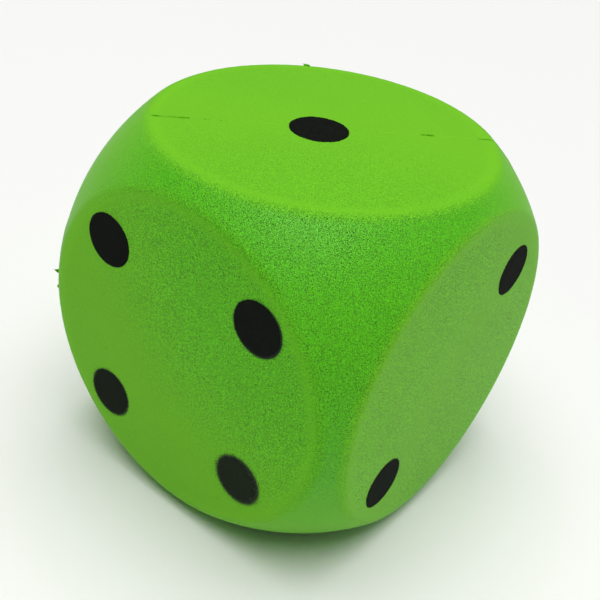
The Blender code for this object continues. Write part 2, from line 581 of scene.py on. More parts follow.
def foam_tree():
    """Geometry for the moulded foam: a cube's grid, blown out to the surface rule, then gently waved."""
    inputs = (
        *DIE_SHAPE,
        ("Grid lines", "NodeSocketInt"),
        ("Wave height", "NodeSocketFloat"),
        ("Wave size", "NodeSocketFloat"),
        ("Seed", "NodeSocketInt"),
        ("Material", "NodeSocketMaterial"),
    )
    tree, given, result = new_geometry_tree("Moulded foam", inputs)
    lines = given["Grid lines"]
    feeds = {"Size": (2, 2, 2), "Vertices X": lines, "Vertices Y": lines, "Vertices Z": lines}
    cube = add_node(tree, "GeometryNodeMeshCube", feeds).outputs["Mesh"]
    # equal steps of angle, so that the grid is as fine at a corner as in the middle of a face
    spread = vector_of(tree, "TANGENT", scaled(tree, position_of(tree), pi / 4))
    direction = vector_of(tree, "NORMALIZE", spread)
    point = follow_surface(tree, given, direction)
    scale = sum_of(tree, "DIVIDE", 1, given["Wave size"])
    noise = seeded_noise(tree, point, given["Seed"], scale, 2.0)
    swing = sum_of(tree, "MULTIPLY", sum_of(tree, "SUBTRACT", noise, 0.5), 2)
    wave = scaled(tree, direction, sum_of(tree, "MULTIPLY", swing, given["Wave height"]))
    shaped = moved(tree, cube, vector_of(tree, "ADD", point, wave))
    finish_tree(tree, shaped, given["Material"], result["Geometry"])
    return tree


# ---------------------------------------------------------------- parting line


def smooth_step(low, high, value):
    """0 below low, 1 above high, and an even curve between them."""
    t = np.clip((value - low) / (high - low), 0, 1)
    return t * t * (3 - 2 * t)


def bell(value, reach):
    """1 at zero, about a third at the reach and nearly nothing past twice that."""
    return np.exp(-((value / reach) ** 2))


def ripple(loop_angle, mean, waves):
    """A share that wavers round the parting line's loop."""
    return mean + sum(swing * np.sin(count * loop_angle + phase) for swing, count, phase in waves)


def cut_seam_loops(mesh):
    """Cut edge loops into the foam along and beside the parting plane, so that its relief has real edges."""
    foam = bmesh.new()
    foam.from_mesh(mesh)
    for offset in SEAM_LOOPS:
        near = []
        for face in foam.faces:
            if abs((face.calc_center_median() - MIDDLE).dot(SEAM_ACROSS)) < SEAM_REACH:
                near.append(face)
        edges = {edge for face in near for edge in face.edges}
        corners = {corner for face in near for corner in face.verts}
        bmesh.ops.bisect_plane(
            foam,
            geom=[*corners, *edges, *near],
            dist=CUT_TOLERANCE,
            plane_co=MIDDLE + SEAM_ACROSS * offset,
            plane_no=SEAM_ACROSS,
        )
    foam.to_mesh(mesh)
    foam.free()


def store_share(mesh, name, values):
    """Store a value for each point of a mesh, for its material to read."""
    layer = mesh.attributes.new(name, "FLOAT", "POINT")
    layer.data.foreach_set("value", values.astype(np.float32))


def tear_share(loop_angle):
    """How fully the parting line is torn at each angle round its loop."""
    share = np.zeros_like(loop_angle)
    for start, end, depth in TEARS:
        ease = TEAR_EASE * (end - start)
        window = smooth_step(start, start + ease, loop_angle) * (1 - smooth_step(end - ease, end, loop_angle))
        share = np.maximum(share, depth * window)
    return share


def raise_seam(mesh, settings):
    """Push the foam out and in along the parting line: a thin uneven ridge, a small step and torn slits.

    Returns the painted highlight along the ridge and the painted shade in the slits, at each point.
    """
    points = read_vectors(mesh.vertices, "co")
    normals = read_vectors(mesh.vertices, "normal")
    from_middle = points - np.array(MIDDLE)
    across = from_middle @ np.array(SEAM_ACROSS)
    loop = np.arctan2(from_middle @ np.array(SEAM_ALONG), from_middle[:, 2])
    uneven = ripple(loop, *RIDGE_RIPPLE)
    torn = tear_share(np.degrees(loop))

    under_pip = bell((np.hypot(from_middle[:, 0], from_middle[:, 1]) / CALM_RADIUS) ** 2, 1)
    calm = 1 - CALM_SHARE * under_pip * (from_middle[:, 2] > 0)
    ridge = settings.seam_height * uneven * bell(across, RIDGE_REACH)
    fade = 1 - smooth_step(STEP_FADE, SEAM_REACH, np.abs(across))
    step = settings.seam_step / 2 * np.tanh(across / STEP_REACH) * fade
    slit = settings.tear_depth * torn * bell(across, SLIT_REACH)
    lip = LIP_SHARE * settings.tear_depth * torn * bell(across + LIP_OFFSET, LIP_REACH)
    height = calm * (ridge + step) - slit + lip
    points += normals * height[:, None]
    mesh.vertices.foreach_set("co", points.ravel())
    mesh.update()

    # the ridge's painted highlight and the slits' painted shade
    pale = RIDGE_PAINTED_HIGHLIGHT * calm * uneven * bell(across, PAINTED_HIGHLIGHT_REACH)
    dark = SLIT_PAINTED_SHADE * torn * ripple(loop, *SLIT_RIPPLE) * bell(across, PAINTED_SHADE_REACH)
    return pale - dark


def freshness(direction):
    """How open the pores of the ball are in each direction from the middle of the die."""
    fresh = np.zeros(len(direction))
    for towards, share in OPEN_CORNERS:
        near = smooth_step(*OPENING, direction @ np.array(towards))
        fresh = np.maximum(fresh, share * (LEAST_OPEN + (1 - LEAST_OPEN) * near))
    return fresh


def mark_skin(mesh, seam_shade):
    """Store four shares at each point: how open its pores are, its gloss, its depth of green and its shade,
    which holds painted highlight and painted shade.

    The pressed flats have a closed, paler skin, palest along the rims, where the paleness is partly a painted
    highlight. The pores are widest open near some of the corners. There the light that sinks into them comes
    out a deeper green, and their walls shine.
    """
    direction = read_vectors(mesh.vertices, "co") - np.array(MIDDLE)
    direction /= np.linalg.norm(direction, axis=1)[:, None]
    axis = np.abs(direction).argmax(axis=1)
    nearest = direction[np.arange(len(axis)), axis]
    side = (nearest > 0).astype(int)
    rim = degrees(atan2(sqrt(BALL_RADIUS**2 - HALF**2), HALF))
    past_rim = np.degrees(np.arccos(np.abs(nearest))) - rim
    fresh = freshness(direction)
    pressed = bell(past_rim + PRESSED_INSIDE, PRESSED_REACH)

    ball = smooth_step(*PORES_CHANGE, past_rim)
    # a flat's openness also sets how strongly its pits are painted in shade, set per face partly for the
    # light on it
    openness = np.minimum(fresh * (ball + FLAT_OPENNESS_AND_PORE_SHADE[axis, side] * (1 - ball)), 1)
    ball = smooth_step(*GREEN_CHANGE, past_rim)
    gloss = ball * np.clip(GREEN_OFF_RIM + GREEN_BY_PORES * fresh, 0, 1)
    # each flat's depth of green is partly a painted tint of the light that falls on that face
    on_flat = (1 - ball) * FLAT_GREEN_AND_LIGHT_TINT[axis, side] * fresh * (1 - PRESSED_GREEN * pressed)
    # the slits' painted shade deepens the green there too
    green_of_slit_shade = -SLIT_SHADE_GREEN * seam_shade
    store_share(mesh, "pore_openness", openness * (1 - PRESSED_PORES * pressed))
    store_share(mesh, "gloss", gloss)
    store_share(mesh, "deep_green", np.clip(np.maximum(gloss + on_flat, green_of_slit_shade), 0, 1))
    # the shade holds the ridge's painted highlight, the slits' painted shade and the rims' paleness, which is
    # partly a painted highlight
    store_share(mesh, "skin_shade", seam_shade + RIM_PAINTED_HIGHLIGHT * pressed)


def near_a_pip(point):
    """Whether a point is under a pip, or close enough that a pinhole would show through its edge."""
    for node in PIP_NODES:
        radius, middle = pip_place(node)[:2]
        if (point - middle).length < radius + PINHOLE_MARGIN:
            return True
    return False


def resize_face(face, width):
    """Scale a small face about its own middle until its sides are a width long on average."""
    middle = face.calc_center_median()
    factor = width / sqrt(face.calc_area())
    for corner in face.verts:
        corner.co = middle + (corner.co - middle) * factor


def open_pinholes(mesh, settings):
    """Open the larger pores: small pits in faces picked over the whole skin, most of them on the ball."""
    foam = bmesh.new()
    foam.from_mesh(mesh)
    foam.faces.ensure_lookup_table()
    layer = foam.verts.layers.float["pore_openness"]
    dice = np.random.default_rng(settings.seed)
    order = dice.permutation(len(foam.faces))
    chances = dice.random(len(order))
    chosen = []
    for index, chance in zip(order, chances):
        if len(chosen) == settings.pinholes:
            break
        face = foam.faces[index]
        place = face.calc_center_median()
        at_seam = abs((place - MIDDLE).dot(SEAM_ACROSS)) < SEAM_REACH / 2
        open_here = chance < PINHOLE_CHANCE + (1 - PINHOLE_CHANCE) * face.verts[0][layer]
        if len(face.verts) == 4 and open_here and not at_seam and not near_a_pip(place):
            chosen.append(face)
    widths = PINHOLE_WIDTH * dice.uniform(PINHOLE_NARROWEST, 1.0, len(chosen))

    # each inset adds a ring of faces, whose inner edge is then set to the pit's rim and to its floor
    bmesh.ops.inset_individual(foam, faces=chosen, thickness=PINHOLE_INSET)
    for face, width in zip(chosen, widths):
        resize_face(face, width)
    bmesh.ops.inset_individual(foam, faces=chosen, thickness=PINHOLE_INSET)
    for face, width in zip(chosen, widths):
        resize_face(face, PINHOLE_FLOOR * width)
        inward = face.normal * (settings.pinhole_depth * width / PINHOLE_WIDTH)
        for corner in face.verts:
            corner.co -= inward
    foam.to_mesh(mesh)
    foam.free()


# How much of its square each face fills in the flat pattern
SQUARE_FILL = 0.97


def lay_out_skin(mesh):
    """Give the foam a flat pattern for baking: each of the six faces fills a square of its own."""
    loops = len(mesh.loops)
    corner_of = np.empty(loops, np.int32)
    mesh.loops.foreach_get("vertex_index", corner_of)
    points = read_vectors(mesh.vertices, "co") - np.array(MIDDLE)
    centres = read_vectors(mesh.polygons, "center") - np.array(MIDDLE)
    sizes = np.empty(len(mesh.polygons), np.int32)
    mesh.polygons.foreach_get("loop_total", sizes)
    axis = np.abs(centres).argmax(axis=1)
    rows = np.arange(len(centres))
    square = axis + 3 * (centres[rows, axis] < 0)
    of_loop = np.repeat(square, sizes)
    place = points[corner_of]
    picks = np.arange(loops)
    axis_of_loop = of_loop % 3
    depth = np.abs(place[picks, axis_of_loop])
    first = np.arctan2(place[picks, (axis_of_loop + 1) % 3], depth) / (pi / 4)
    second = np.arctan2(place[picks, (axis_of_loop + 2) % 3], depth) / (pi / 4)
    # three squares across and two up, each filled apart from a margin
    u = (of_loop % 3 + (1 + SQUARE_FILL * first) / 2) / 3
    v = (of_loop // 3 + (1 + SQUARE_FILL * second) / 2) / 2
    layer = mesh.uv_layers.new(name="OFBake")
    layer.data.foreach_set("uv", np.stack([u, v], axis=1).astype(np.float32).ravel())


# ---------------------------------------------------------------- materials


# A Mix node's sockets for two colours
COLOUR_SOCKETS = slice(6, 8)

# How unevenly pits are scattered
PIT_SCATTER = 0.85

# The foam's pits: each kind's spacing in pore spacings, and its deep middle and its edge as shares of that
# spacing. How much the small kind counts beside the large, and the edges of pits that paint has filled.
LARGE_PITS = (1.0, 0.12, 0.50)
SMALL_PITS = (0.62, 0.10, 0.50)
SMALL_PIT_SHARE = 0.8
PAINTED_PIT_EDGES = (0.15, 0.45)

# The size of the skin's grain, in pore spacings
GRAIN_SIZE = 0.5

# How much a pore is painted darker, as painted shade in its pit, how much the grain varies open skin, as its
# own tone and as painted light on the proud grain, and a lift that keeps it from being darker overall than
# closed skin
PORE_PAINTED_SHADE = 0.87
GRAIN_TONE_AND_PAINTED_LIGHT = 2.7
OPEN_LIFT = 0.25

# Slow patches in the skin's brightness: their size and how far they swing. The least brightness of a spot.
MOTTLE_SIZE = 0.03
MOTTLE_SWING = 0.07
DARKEST = 0.08

# What the mist of paint and the foam's patches add up to where a stain starts and where it is full
STAIN = (0.80, 1.25)

# The grain noise from which to which the foam's roughness rises, that roughness, and how much full gloss
# takes off it
GRAIN_RANGE = (0.2, 0.8)
DRY_ROUGHNESS = (0.68, 0.80)
GLOSS_SMOOTHNESS = 0.40

# The foam's relief: how high its grain stands beside the pores' depth, and how strongly both show
GRAIN_HEIGHT = 0.6
FOAM_RELIEF = 0.5

# The shine and the dustiness of the foam's skin
SKIN_SHINE = 0.17
SKIN_DUST = 0.18
DUST_ROUGHNESS = 0.35
DUST_TINT = (0.92, 1.0, 0.95, 1)

# Patches in the paint: their size, and the noise from which to which they run
PAINT_PATCH_SIZE = 0.0022
PATCH_RANGE = (0.3, 0.7)

# The octaves of noise that has fine detail, and how strong each is beside the one before
FINE_DETAIL = 4.0
FINE_STRENGTH = 0.65

# How much the thin colour shows in the patches of thick paint, and what full thinness adds to that and
# to the paint between the patches
PATCH_SHOWS = 0.15
THIN_PATCH_SHOWS = 0.2
THIN_SHOWS = 0.6

# The paint's roughness, relief and shine, and the share of the pores' depth that it leaves open
PAINT_ROUGHNESS = (0.75, 0.92)
PAINT_RELIEF = 0.4
PAINT_SHINE = 0.06
PAINTED_DEPTH = 0.5

# The floor's slow unevenness: its size, and how bright its duller parts are. The floor's roughness.
FLOOR_CLOUD_SIZE = 0.4
FLOOR_DULLEST = 0.985
FLOOR_ROUGHNESS = 0.7


def new_material(name):
    """A node material, its tree, its shader and its object coordinates."""
    material = bpy.data.materials.new(name)
    material.use_nodes = True
    tree = material.node_tree
    shader = tree.nodes["Principled BSDF"]
    where = add_node(tree, "ShaderNodeTexCoord").outputs["Object"]
    return material, tree, shader, where


def noise_of(tree, where, size, detail=2.0, roughness=0.5):
    """Smooth noise whose features are about one size across, from 0 to 1."""
    feeds = {"Vector": where, "Scale": 1 / size, "Detail": detail, "Roughness": roughness}
    return add_node(tree, "ShaderNodeTexNoise", feeds).outputs[0]


def ranged(tree, value, low, high, to_low=0.0, to_high=1.0):
    """A value moved from one range to another with soft ends."""
    feeds = {"Value": value, "From Min": low, "From Max": high, "To Min": to_low, "To Max": to_high}
    return add_node(tree, "ShaderNodeMapRange", feeds, interpolation_type="SMOOTHSTEP").outputs[0]


def mixed(tree, factor, first, second):
    """Two colours mixed by a factor that varies over the surface."""
    made = add_node(tree, "ShaderNodeMix", {"Factor": factor}, data_type="RGBA")
    for socket, feed in zip(made.inputs[COLOUR_SOCKETS], (first, second)):
        if isinstance(feed, bpy.types.NodeSocket):
            tree.links.new(feed, socket)
        else:
            socket.default_value = (*feed, 1)
    return made.outputs[2]


def pits_of(tree, where, spacing, narrow, wide):
    """Scattered round pits: 1 up to the narrow share of the spacing from a pit's middle, 0 past the wide."""
    feeds = {"Vector": where, "Scale": 1 / spacing, "Randomness": PIT_SCATTER}
    distance = add_node(tree, "ShaderNodeTexVoronoi", feeds).outputs["Distance"]
    return ranged(tree, distance, narrow, wide, 1.0, 0.0)


def overspray(tree, where):
    """How thick the mist of paint lies on the foam: full inside a soft pip's edge, gone past its reach."""
    thickest = 0.0
    for node, (_, _, reach, drift) in SPRAY.items():
        radius, middle, right, up, _ = pip_place(node)
        centre = middle + right * drift[0] + up * drift[1]
        away = distance_of(tree, where, tuple(centre))
        here = ranged(tree, away, radius - reach, radius + reach, 1.0, 0.0)
        thickest = sum_of(tree, "MAXIMUM", thickest, here)
    return thickest


def add_bump(tree, shader, height, strength, depth):
    """Give a shader a relief from a height, where 1 stands for the depth."""
    feeds = {"Height": height, "Strength": strength, "Distance": depth}
    bump = add_node(tree, "ShaderNodeBump", feeds).outputs[0]
    tree.links.new(bump, shader.inputs["Normal"])


def foam_pores(tree, where, spacing):
    """The foam's fine pores: large pits with small ones between them."""
    large_spacing, *large_edges = LARGE_PITS
    small_spacing, *small_edges = SMALL_PITS
    large = pits_of(tree, where, large_spacing * spacing, *large_edges)
    small = pits_of(tree, where, small_spacing * spacing, *small_edges)
    return sum_of(tree, "MULTIPLY_ADD", small, SMALL_PIT_SHARE, large)


def foam_tone_and_painted_light(tree, where, pores, grain, openness, shade):
    """How bright each spot of the foam is beside plain skin: speckled where it is open, with painted shade in
    the pits and painted light on the proud grain, slowly mottled.
    """
    swing = sum_of(tree, "SUBTRACT", grain, 0.5)
    # the proud grain is painted lighter, partly as painted light on its tops, and the pits are painted dark
    # as shade
    varied = sum_of(tree, "MULTIPLY_ADD", swing, GRAIN_TONE_AND_PAINTED_LIGHT, OPEN_LIFT)
    relief_light_and_shade = sum_of(tree, "MULTIPLY_ADD", pores, -PORE_PAINTED_SHADE, varied)
    mottle = sum_of(tree, "SUBTRACT", noise_of(tree, where, MOTTLE_SIZE, 3.0), 0.5)
    cloud = sum_of(tree, "MULTIPLY_ADD", mottle, MOTTLE_SWING, 1)
    tone = sum_of(tree, "MULTIPLY_ADD", relief_light_and_shade, openness, sum_of(tree, "ADD", cloud, shade))
    return sum_of(tree, "MAXIMUM", tone, DARKEST)


def stained(tree, where, bare, grain_size):
    """A foam colour with the stain that mist of paint leaves in it round the softly sprayed pips."""
    paint = bpy.context.scene.foam_die_pips
    patch = noise_of(tree, where, grain_size, 2.0)
    painted = ranged(tree, sum_of(tree, "ADD", patch, overspray(tree, where)), *STAIN)
    return mixed(tree, painted, bare, tuple(paint.thin_colour))


def foam_material():
    """Open-pored foam: a mottled, grainy skin with fine pores painted dark as shade in their pits, and a dry,
    dusty sheen.
    """
    look = bpy.context.scene.foam_die_foam
    material, tree, shader, where = new_material("moulded foam")
    openness, gloss, deep, shade = (
        add_node(tree, "ShaderNodeAttribute", attribute_name=name).outputs["Fac"]
        for name in ("pore_openness", "gloss", "deep_green", "skin_shade")
    )
    grain_size = GRAIN_SIZE * look.pore_spacing
    pores = foam_pores(tree, where, look.pore_spacing)
    grain = noise_of(tree, where, grain_size, 1.0)

    skin = mixed(tree, deep, tuple(look.colour), tuple(look.corner_colour))
    bare = scaled(tree, skin, foam_tone_and_painted_light(tree, where, pores, grain, openness, shade))
    tree.links.new(stained(tree, where, bare, grain_size), shader.inputs["Base Color"])

    dry = ranged(tree, grain, *GRAIN_RANGE, *DRY_ROUGHNESS)
    roughness = sum_of(tree, "MULTIPLY_ADD", squared(tree, gloss), -GLOSS_SMOOTHNESS, dry)
    tree.links.new(roughness, shader.inputs["Roughness"])
    proud = sum_of(tree, "SUBTRACT", sum_of(tree, "MULTIPLY", grain, GRAIN_HEIGHT), pores)
    height = sum_of(tree, "MULTIPLY", proud, openness)
    add_bump(tree, shader, height, FOAM_RELIEF, look.pore_depth)

    # torn foam has no skin to shine
    skinned = ranged(tree, shade, FLASH_SHADE / 2, 0)
    shine = sum_of(tree, "MULTIPLY", skinned, SKIN_SHINE)
    dust = sum_of(tree, "MULTIPLY", skinned, SKIN_DUST)
    tree.links.new(shine, shader.inputs["Specular IOR Level"])
    tree.links.new(dust, shader.inputs["Sheen Weight"])
    shader.inputs["Sheen Roughness"].default_value = DUST_ROUGHNESS
    shader.inputs["Sheen Tint"].default_value = DUST_TINT
    return material


def paint_material(name, thinness):
    """Matt spray paint soaked into the foam. Thin paint lets the foam's pores show through."""
    look = bpy.context.scene.foam_die_pips
    foam = bpy.context.scene.foam_die_foam
    material, tree, shader, where = new_material(name)
    fine = pits_of(tree, where, foam.pore_spacing, *PAINTED_PIT_EDGES)
    patch = noise_of(tree, where, PAINT_PATCH_SIZE, FINE_DETAIL, FINE_STRENGTH)
    uneven = ranged(tree, patch, *PATCH_RANGE)
    in_patches = PATCH_SHOWS + THIN_PATCH_SHOWS * thinness
    shows = sum_of(tree, "MULTIPLY_ADD", uneven, in_patches, THIN_SHOWS * thinness)
    colour = mixed(tree, shows, tuple(look.colour), tuple(look.thin_colour))
    tree.links.new(colour, shader.inputs["Base Color"])
    roughness = ranged(tree, patch, *PATCH_RANGE, *PAINT_ROUGHNESS)
    tree.links.new(roughness, shader.inputs["Roughness"])
    height = sum_of(tree, "SUBTRACT", patch, fine)
    add_bump(tree, shader, height, PAINT_RELIEF, PAINTED_DEPTH * foam.pore_depth)
    shader.inputs["Specular IOR Level"].default_value = PAINT_SHINE
    return material


def floor_material():
    """A plain pale floor with a faint unevenness."""
    look = bpy.context.scene.foam_die_stage
    material, tree, shader, where = new_material("pale floor")
    cloud = noise_of(tree, where, FLOOR_CLOUD_SIZE, 2.0)
    duller = tuple(channel * FLOOR_DULLEST for channel in look.floor_colour)
    colour = mixed(tree, cloud, duller, tuple(look.floor_colour))
    tree.links.new(colour, shader.inputs["Base Color"])
    shader.inputs["Roughness"].default_value = FLOOR_ROUGHNESS
    return material


# ---------------------------------------------------------------- pips and their mist


# How far off a face the probe starts that finds the foam under a point, and how far it looks
PROBE_START = 0.01
PROBE_LENGTH = 0.03

# A pip's ragged edge: its fine and slow wanderings' features in a metre, how far the noise is stretched,
# and how sharply the wandering dies out inwards
FINE_RAGS = 900
SLOW_RAGS = 120
RAG_STRETCH = 3
RAG_FADE = 6

# Paint mist: how far past a pip's edge specks are laid beside the mist's reach, the sides of that patch,
# how fast the mist thins out, and the smallest and largest speck beside the speck size
MIST_SPREAD = 1.6
MIST_SIDES = 64
MIST_FADE = 2.0
SMALL_SPECK = (0.35, 0.35, 0.2)
LARGE_SPECK = (1.0, 1.0, 0.5)

# How thin the specks' paint is, how much a pip's thinness adds to its raggedness, and the first mist's seed
MIST_THINNESS = 0.3
THIN_RAGGEDNESS = 3
MIST_SEED = 100

PIP_PLACE = (
    ("Foam", "NodeSocketObject"),
    ("Middle", "NodeSocketVector"),
    ("Right", "NodeSocketVector"),
    ("Up", "NodeSocketVector"),
    ("Outward", "NodeSocketVector"),
)


def pip_place(node):
    """A pip's radius, the middle of its disc and its face's right, up and outward directions."""
    low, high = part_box(node)
    size = high - low
    middle = (low + high) / 2
    thin = min(range(3), key=lambda axis: size[axis])
    radius = max(size) / 2
    outward = Vector((0, 0, 0))
    outward[thin] = 1 if middle[thin] > MIDDLE[thin] else -1
    up = Vector((0, 0, 1))
    if thin == 2:
        up = Vector((0, outward.z, 0))
    return radius, middle, up.cross(outward), up, outward


def drop_onto_foam(tree, given, flat, height):
    """Lay points given flat on a face down onto the foam, and lift them by a height."""
    parts = parts_of(tree, flat)
    sideways = scaled(tree, given["Right"], parts[0])
    upward = scaled(tree, given["Up"], parts[1])
    above = scaled(tree, given["Outward"], PROBE_START)
    start = vector_of(tree, "ADD", given["Middle"], above)
    for offset in (sideways, upward):
        start = vector_of(tree, "ADD", start, offset)
    foam = add_node(tree, "GeometryNodeObjectInfo", {"Object": given["Foam"]}).outputs["Geometry"]
    feeds = {
        "Target Geometry": foam,
        "Source Position": start,
        "Ray Direction": scaled(tree, given["Outward"], -1),
        "Ray Length": PROBE_LENGTH,
    }
    hit = add_node(tree, "GeometryNodeRaycast", feeds).outputs["Hit Position"]
    return vector_of(tree, "ADD", hit, scaled(tree, given["Outward"], height))


def pip_tree():
    """Geometry for one pip: a disc with a ragged edge, laid onto the foam as a thin skin of paint."""
    inputs = (
        *PIP_PLACE,
        ("Radius", "NodeSocketFloat"),
        ("Ragged edge", "NodeSocketFloat"),
        ("Paint skin", "NodeSocketFloat"),
        ("Soak depth", "NodeSocketFloat"),
        ("Sides", "NodeSocketInt"),
        ("Rings", "NodeSocketInt"),
        ("Seed", "NodeSocketInt"),
        ("Material", "NodeSocketMaterial"),
    )
    tree, given, result = new_geometry_tree("Sprayed pip", inputs)
    radius = given["Radius"]
    feeds = {
        "Vertices": given["Sides"],
        "Side Segments": 1,
        "Fill Segments": given["Rings"],
        "Radius": radius,
        "Depth": 1,
    }
    disc = add_node(tree, "GeometryNodeMeshCylinder", feeds, fill_type="TRIANGLE_FAN").outputs["Mesh"]
    parts = parts_of(tree, position_of(tree))
    flat = add_node(tree, "ShaderNodeCombineXYZ", {0: parts[0], 1: parts[1]}).outputs[0]
    fine = seeded_noise(tree, flat, given["Seed"], FINE_RAGS, FINE_DETAIL, FINE_STRENGTH)
    slow = seeded_noise(tree, flat, given["Seed"], SLOW_RAGS, 1.0)
    swing = sum_of(tree, "SUBTRACT", sum_of(tree, "ADD", fine, slow), 1)
    out = sum_of(tree, "DIVIDE", length_of(tree, flat), radius)
    near_edge = sum_of(tree, "POWER", out, RAG_FADE)
    reach = sum_of(tree, "MULTIPLY", sum_of(tree, "MULTIPLY", swing, RAG_STRETCH), given["Ragged edge"])
    shift = sum_of(tree, "MULTIPLY", reach, near_edge)
    away = vector_of(tree, "NORMALIZE", flat)
    outline = vector_of(tree, "ADD", flat, scaled(tree, away, shift))
    below = sum_of(tree, "MULTIPLY", given["Soak depth"], -1)
    height = pick(tree, "FLOAT", is_more(tree, parts[2], 0), below, given["Paint skin"])
    shaped = moved(tree, disc, drop_onto_foam(tree, given, outline, height))
    finish_tree(tree, shaped, given["Material"], result["Geometry"])
    return tree


def mist_tree():
    """Geometry for the mist of paint round one pip: specks that thin out with distance from its edge."""
    inputs = (
        *PIP_PLACE,
        ("Radius", "NodeSocketFloat"),
        ("Misty edge", "NodeSocketFloat"),
        ("Reach", "NodeSocketFloat"),
        ("Drift", "NodeSocketVector"),
        ("Speck size", "NodeSocketFloat"),
        ("Speck density", "NodeSocketFloat"),
        ("Seed", "NodeSocketInt"),
        ("Material", "NodeSocketMaterial"),
    )
    tree, given, result = new_geometry_tree("Paint mist", inputs)
    reach, seed = given["Reach"], given["Seed"]
    core = sum_of(tree, "SUBTRACT", given["Radius"], given["Misty edge"])
    feeds = {
        "Vertices": MIST_SIDES,
        "Radius": sum_of(tree, "MULTIPLY_ADD", reach, MIST_SPREAD, given["Radius"]),
    }
    patch = add_node(tree, "GeometryNodeMeshCircle", feeds, fill_type="NGON").outputs[0]
    feeds = {"Mesh": patch, "Density": given["Speck density"], "Seed": seed}
    specks = add_node(tree, "GeometryNodeDistributePointsOnFaces", feeds).outputs["Points"]

    # specks are kept less and less often past the core, and never where the pip's own paint covers them
    position = position_of(tree)
    from_spray = length_of(tree, vector_of(tree, "SUBTRACT", position, given["Drift"]))
    fading = sum_of(tree, "ADD", reach, given["Misty edge"])
    past = sum_of(tree, "DIVIDE", sum_of(tree, "SUBTRACT", from_spray, core), fading)
    left_over = sum_of(tree, "MAXIMUM", sum_of(tree, "SUBTRACT", 1, past), 0)
    kept_share = sum_of(tree, "POWER", left_over, MIST_FADE)
    too_far = is_more(tree, random_share(tree, seed), kept_share)
    hidden_within = sum_of(tree, "SUBTRACT", core, given["Speck size"])
    covered = is_more(tree, hidden_within, length_of(tree, position))
    left = thinned(tree, specks, either(tree, too_far, covered))

    placed = moved(tree, left, drop_onto_foam(tree, given, position, 0.0))
    feeds = {
        "Points": placed,
        "Instance": small_ball(tree, given["Speck size"], 1),
        "Rotation": turn_towards(tree, given["Outward"]),
        "Scale": random_vector(tree, SMALL_SPECK, LARGE_SPECK, seed),
    }
    many = add_node(tree, "GeometryNodeInstanceOnPoints", feeds).outputs[0]
    finish_tree(tree, many, given["Material"], result["Geometry"])
    return tree


# ---------------------------------------------------------------- flash


# The pips that the parting line runs under: the one, and two of the six
SEAM_PIPS = ("First pip", "Second pip", "Third pip")

# How open the pores of torn flash are, and how deep its green is
FLASH_OPENNESS = 0.5
FLASH_GREEN = 0.5

# Crumbs: places round the loop, the share of them that holds one, its radius, how far it strays from the
# loop as a share of the loop's own radius, and the smallest and largest beside that radius
CRUMB_PLACES = 900
CRUMB_SHARE = 0.10
CRUMB_SIZE = 0.00028
CRUMB_STRAY = 0.004
SMALL_CRUMB = (0.3, 0.3, 0.3)
LARGE_CRUMB = (1.1, 1.1, 0.9)

# Torn lumps: the scale and fine strength of the noise that tears a ball of radius 1, the ball's least size
# and how much the noise adds, how much narrower a lump is at height 1, and how finely the ball is divided
TORN_SCALE = 1.6
TORN_STRENGTH = 0.6
TORN_LEAST = 0.45
TORN_SWING = 1.1
TAPER = 0.75
LUMP_DIVISIONS = 4


def pips_on_the_seam():
    """The places of the pips that the parting line runs under."""
    places = [pip_place(node) for node in PIP_NODES]
    return [place for place in places if abs((place[1] - MIDDLE).dot(SEAM_ACROSS)) < place[0]]


def shade_flash(mesh, shade):
    """Give torn flash its half-open pores, its deeper green and its darker shade."""
    count = len(mesh.vertices)
    store_share(mesh, "pore_openness", np.full(count, FLASH_OPENNESS))
    store_share(mesh, "gloss", np.zeros(count))
    store_share(mesh, "deep_green", np.full(count, FLASH_GREEN))
    store_share(mesh, "skin_shade", np.full(count, shade))


def crumb_tree():
    """Geometry for the crumbs of flash that cling along the parting line, clear of the pips."""
    inputs = (
        *DIE_SHAPE,
        *((label, "NodeSocketVector") for label in SEAM_PIPS),
        ("Clear radius", "NodeSocketFloat"),
        ("Places", "NodeSocketInt"),
        ("Share kept", "NodeSocketFloat"),
        ("Crumb size", "NodeSocketFloat"),
        ("Seed", "NodeSocketInt"),
        ("Material", "NodeSocketMaterial"),
    )
    tree, given, result = new_geometry_tree("Flash crumbs", inputs)
    seed = given["Seed"]
    feeds = {"Resolution": given["Places"], "Radius": 1.0}
    circle = add_node(tree, "GeometryNodeCurvePrimitiveCircle", feeds, mode="RADIUS").outputs[0]
    feeds = {"Curve": circle}
    points = add_node(tree, "GeometryNodeCurveToPoints", feeds, mode="EVALUATED").outputs["Points"]
    position = position_of(tree)
    parts = parts_of(tree, position)
    sideways = scaled(tree, tuple(SEAM_ALONG), parts[0])
    upward = add_node(tree, "ShaderNodeCombineXYZ", {2: parts[1]}).outputs[0]
    stray = random_vector(tree, (-CRUMB_STRAY,) * 3, (CRUMB_STRAY,) * 3, seed)
    direction = vector_of(tree, "ADD", vector_of(tree, "ADD", sideways, upward), stray)
    placed = moved(tree, points, follow_surface(tree, given, direction))

    unwanted = is_more(tree, random_share(tree, sum_of(tree, "ADD", seed, 1)), given["Share kept"])
    for label in SEAM_PIPS:
        away = distance_of(tree, position, given[label])
        unwanted = either(tree, unwanted, is_more(tree, given["Clear radius"], away))
    feeds = {
        "Points": thinned(tree, placed, unwanted),
        "Instance": small_ball(tree, given["Crumb size"], 2),
        "Scale": random_vector(tree, SMALL_CRUMB, LARGE_CRUMB, seed),
    }
    many = add_node(tree, "GeometryNodeInstanceOnPoints", feeds).outputs[0]
    finish_tree(tree, many, given["Material"], result["Geometry"])
    return tree


